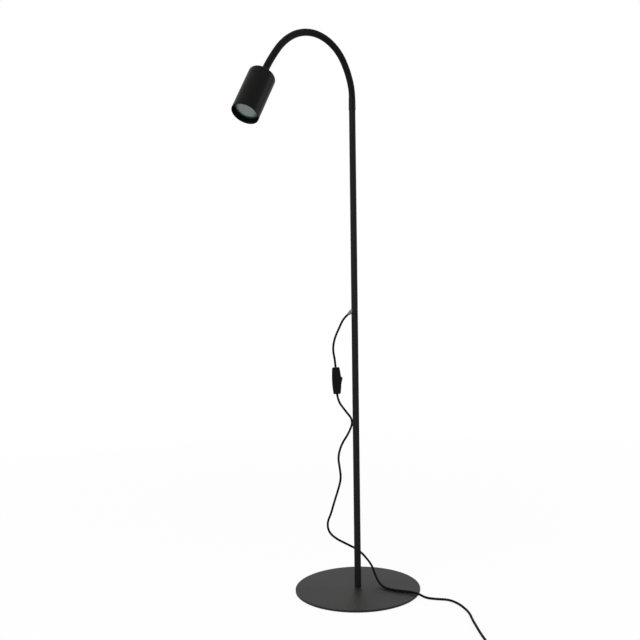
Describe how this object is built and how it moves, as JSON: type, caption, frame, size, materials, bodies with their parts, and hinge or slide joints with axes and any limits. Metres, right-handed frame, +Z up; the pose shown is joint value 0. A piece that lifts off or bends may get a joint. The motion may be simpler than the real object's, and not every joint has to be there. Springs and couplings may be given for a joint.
{
  "type": "gooseneck reading floor lamp",
  "caption": "Floor lamp with a weighted round base, slim straight pole, bendable gooseneck, cylindrical spot shade and a mains lead with an inline rocker switch.",
  "frame": {"origin": "centre of the base's underside, on the floor", "axes": "+Z up along the pole, -X the way the neck and the shade lean out, +Y to the side"},
  "size_m": [0.4617, 0.5899, 1.2538],
  "materials": {
    "base_paint": "satin black powder coat",
    "pole_paint": "satin black powder coat",
    "shade_paint": "satin black powder coat",
    "collar_paint": "satin black",
    "neck_sleeve": "smooth matt black sleeve",
    "conduit_steel": "wound steel strip",
    "pad_foam": "matt black foam",
    "zinc_steel": "zinc plated",
    "lead_pvc": "black soft plastic",
    "plug_pvc": "black moulded plastic",
    "grommet_plastic": "grey translucent",
    "switch_shell": "black fine-grained plastic",
    "rocker_plastic": "black smooth plastic",
    "contact_brass": "stamped",
    "pin_brass": "nickel plated",
    "ceramic_white": "white ceramic",
    "reflector_glass": "aluminised",
    "cover_glass": "clear pressed",
    "capsule_glass": "clear",
    "wire_silicone": "white silicone"
  },
  "bodies": {
    "stand": {"base_disc": "base_paint", "base_pad": "pad_foam", "foot_screw": "zinc_steel", "foot_insert": "zinc_steel", "pole_tube": "pole_paint", "neck_collar": "collar_paint", "neck_sleeve_0": "neck_sleeve", "neck_conduit_0": "conduit_steel", "pole_lead": "lead_pvc", "pole_grommet": "grommet_plastic", "cord_upper": "lead_pvc", "switch_front": "switch_shell", "switch_back": "switch_shell", "switch_pivot": "zinc_steel", "switch_screws": "zinc_steel", "switch_contacts": "contact_brass", "cord_lower": "lead_pvc", "cord_coil": "lead_pvc", "plug_body": "plug_pvc", "plug_pins": "pin_brass"},
    "neck_link_1": {"neck_sleeve_1": "neck_sleeve", "neck_conduit_1": "conduit_steel", "neck_lead_1": "lead_pvc"},
    "neck_link_2": {"neck_sleeve_2": "neck_sleeve", "neck_conduit_2": "conduit_steel", "neck_lead_2": "lead_pvc"},
    "neck_link_3": {"neck_sleeve_3": "neck_sleeve", "neck_conduit_3": "conduit_steel", "neck_lead_3": "lead_pvc"},
    "neck_link_4": {"neck_sleeve_4": "neck_sleeve", "neck_conduit_4": "conduit_steel", "neck_lead_4": "lead_pvc"},
    "neck_link_5": {"neck_sleeve_5": "neck_sleeve", "neck_conduit_5": "conduit_steel", "neck_lead_5": "lead_pvc"},
    "neck_link_6": {"neck_sleeve_6": "neck_sleeve", "neck_conduit_6": "conduit_steel", "neck_lead_6": "lead_pvc"},
    "head": {"neck_sleeve_7": "neck_sleeve", "neck_conduit_7": "conduit_steel", "head_lead": "lead_pvc", "neck_nipple": "zinc_steel", "nipple_nut": "zinc_steel", "shade": "shade_paint", "holder_strap": "zinc_steel", "strap_screws": "zinc_steel", "lampholder": "ceramic_white", "lamp_housing": "reflector_glass", "lamp_glass": "cover_glass", "lamp_capsule": "capsule_glass", "lamp_pins": "pin_brass", "holder_wires": "wire_silicone"},
    "rocker": {"switch_rocker": "rocker_plastic"}
  },
  "joints": [
    {"name": "neck_bend_1", "type": "hinge", "parent": "stand", "child": "neck_link_1", "pos_m": [-0.0032, 0, 1.15407], "axis": [0, -1, 0], "range_deg": [-20, 8]},
    {"name": "neck_sway_2", "type": "hinge", "parent": "neck_link_1", "child": "neck_link_2", "pos_m": [-0.02446, 0, 1.20414], "axis": [0.8434, 0, 0.5373], "range_deg": [-16, 16]},
    {"name": "neck_bend_3", "type": "hinge", "parent": "neck_link_2", "child": "neck_link_3", "pos_m": [-0.06553, 0, 1.23891], "axis": [0, -1, 0], "range_deg": [-22, 8]},
    {"name": "neck_bend_4", "type": "hinge", "parent": "neck_link_3", "child": "neck_link_4", "pos_m": [-0.11908, 0, 1.24478], "axis": [0, -1, 0], "range_deg": [-22, 8]},
    {"name": "neck_sway_5", "type": "hinge", "parent": "neck_link_4", "child": "neck_link_5", "pos_m": [-0.16876, 0, 1.22317], "axis": [-0.5948, 0, 0.8039], "range_deg": [-18, 18]},
    {"name": "neck_bend_6", "type": "hinge", "parent": "neck_link_5", "child": "neck_link_6", "pos_m": [-0.20655, 0, 1.18405], "axis": [0, -1, 0], "range_deg": [-20, 12]},
    {"name": "neck_bend_7", "type": "hinge", "parent": "neck_link_6", "child": "head", "pos_m": [-0.23488, 0, 1.13736], "axis": [0, -1, 0], "range_deg": [-20, 12]},
    {"name": "rocker_tilt", "type": "hinge", "parent": "stand", "child": "rocker", "pos_m": [-0.02927, 0.02456, 0.46904], "axis": [-0.6428, -0.766, 0], "range_deg": [0, 28]}
  ]
}
